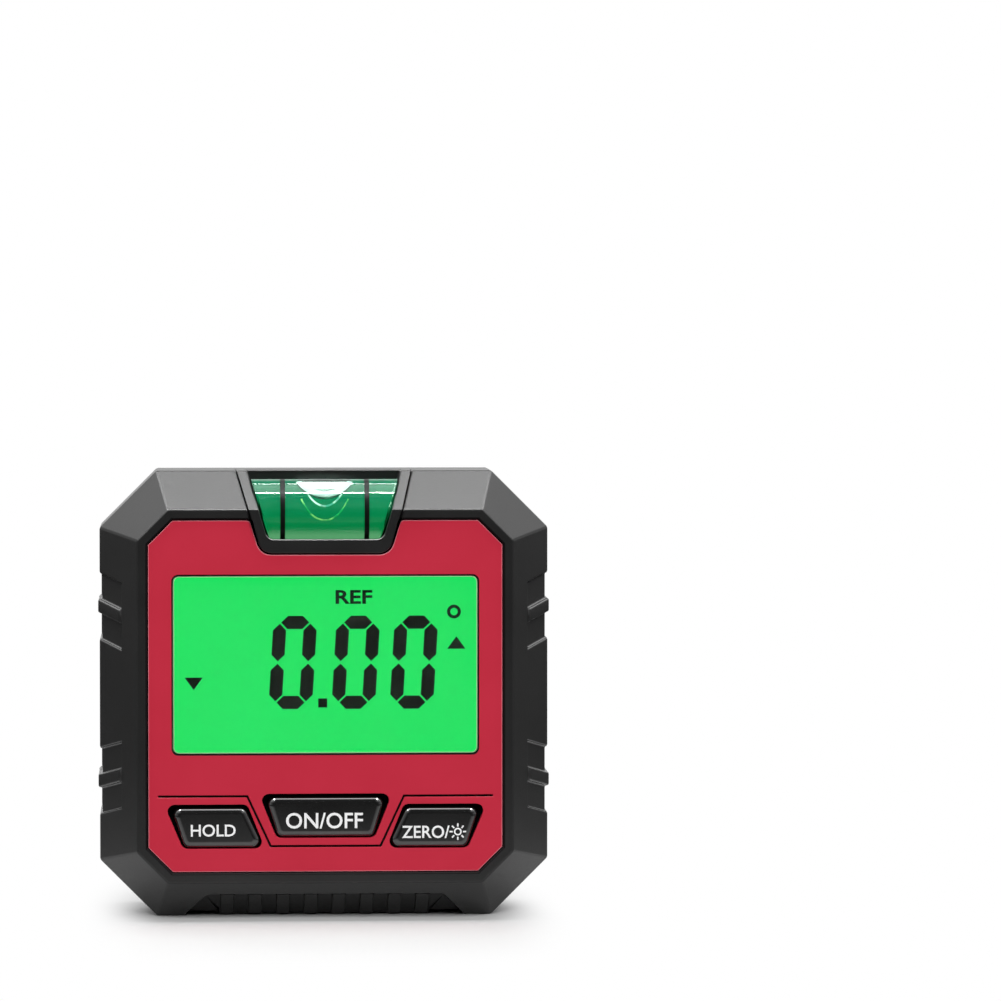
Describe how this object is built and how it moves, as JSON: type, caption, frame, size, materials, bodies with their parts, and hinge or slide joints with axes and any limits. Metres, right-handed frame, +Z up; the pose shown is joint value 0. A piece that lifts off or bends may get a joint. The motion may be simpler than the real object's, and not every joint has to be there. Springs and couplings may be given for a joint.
{
  "type": "digital angle gauge",
  "caption": "Square pocket angle gauge with cut corners, backlit digital display, keys, a bubble vial in its top edge and a magnetic base.",
  "frame": {"origin": "on the standing surface, under the middle of the case", "axes": "+Z up, +X to the right seen from the front, -Y out of the display"},
  "size_m": [0.0604, 0.028, 0.0597],
  "materials": {
    "black_abs": "fine moulded texture",
    "base_abs": "moulded, dull",
    "red_abs": "satin moulded",
    "clear_acrylic": "polished",
    "display_glass": "polished",
    "display_ink": "flat",
    "backlight_green": "diffuse, lit",
    "led_resin": "glossy",
    "white_abs": "satin",
    "zebra_silicone": "dull",
    "board_laminate": "solder mask",
    "chip_epoxy": "moulded",
    "can_steel": "satin",
    "capacitor_ceramic": "fired",
    "switch_nylon": "moulded",
    "plunger_nylon": "moulded",
    "key_abs": "semi-gloss",
    "screw_steel": "zinc plated",
    "vial_acrylic": "polished, green tint",
    "vial_spirit": "clear green fluid",
    "ring_print": "printed",
    "magnet_nickel": "nickel plated",
    "cell_jacket": "printed sleeve, no lettering",
    "spring_steel": "nickel plated",
    "contact_nickel": "nickel plated"
  },
  "bodies": {
    "case": {"front_shell": "black_abs", "rear_shell": "black_abs", "vial_housing": "black_abs", "magnet_base": "base_abs", "face_panel": "red_abs", "lcd_window": "clear_acrylic", "lcd_front_glass": "display_glass", "lcd_rear_glass": "display_glass", "lcd_segments": "display_ink", "backlight_panel": "backlight_green", "backlight_leds": "led_resin", "lcd_frame": "white_abs", "zebra_strip": "zebra_silicone", "main_board": "board_laminate", "tilt_sensor": "chip_epoxy", "controller_chip": "chip_epoxy", "quartz_crystal": "can_steel", "chip_capacitors": "capacitor_ceramic", "tact_switches": "switch_nylon", "board_screws": "screw_steel", "housing_screws": "screw_steel", "base_screws": "screw_steel", "vial_tube": "vial_acrylic", "vial_fluid": "vial_spirit", "vial_plug": "vial_acrylic", "vial_rings": "ring_print", "base_magnets": "magnet_nickel", "upper_cell": "cell_jacket", "lower_cell": "cell_jacket", "battery_springs": "spring_steel", "contact_plates": "contact_nickel"},
    "hold_button": {"hold_key": "key_abs", "hold_plunger": "plunger_nylon"},
    "power_button": {"power_key": "key_abs", "power_plunger": "plunger_nylon"},
    "zero_button": {"zero_key": "key_abs", "zero_plunger": "plunger_nylon"},
    "door": {"battery_door": "black_abs"}
  },
  "joints": [
    {"name": "hold_press", "type": "slide", "parent": "case", "child": "hold_button", "axis": [0, 1, 0], "range_m": [0, 0.0004], "stiffness_N_per_m": 3000},
    {"name": "power_press", "type": "slide", "parent": "case", "child": "power_button", "axis": [0, 1, 0], "range_m": [0, 0.0004], "stiffness_N_per_m": 3000},
    {"name": "zero_press", "type": "slide", "parent": "case", "child": "zero_button", "axis": [0, 1, 0], "range_m": [0, 0.0004], "stiffness_N_per_m": 3000},
    {"name": "door_hinge", "type": "hinge", "parent": "case", "child": "door", "pos_m": [0, 0.0132, 0.0187], "axis": [-1, 0, 0], "range_deg": [0, 95]}
  ]
}
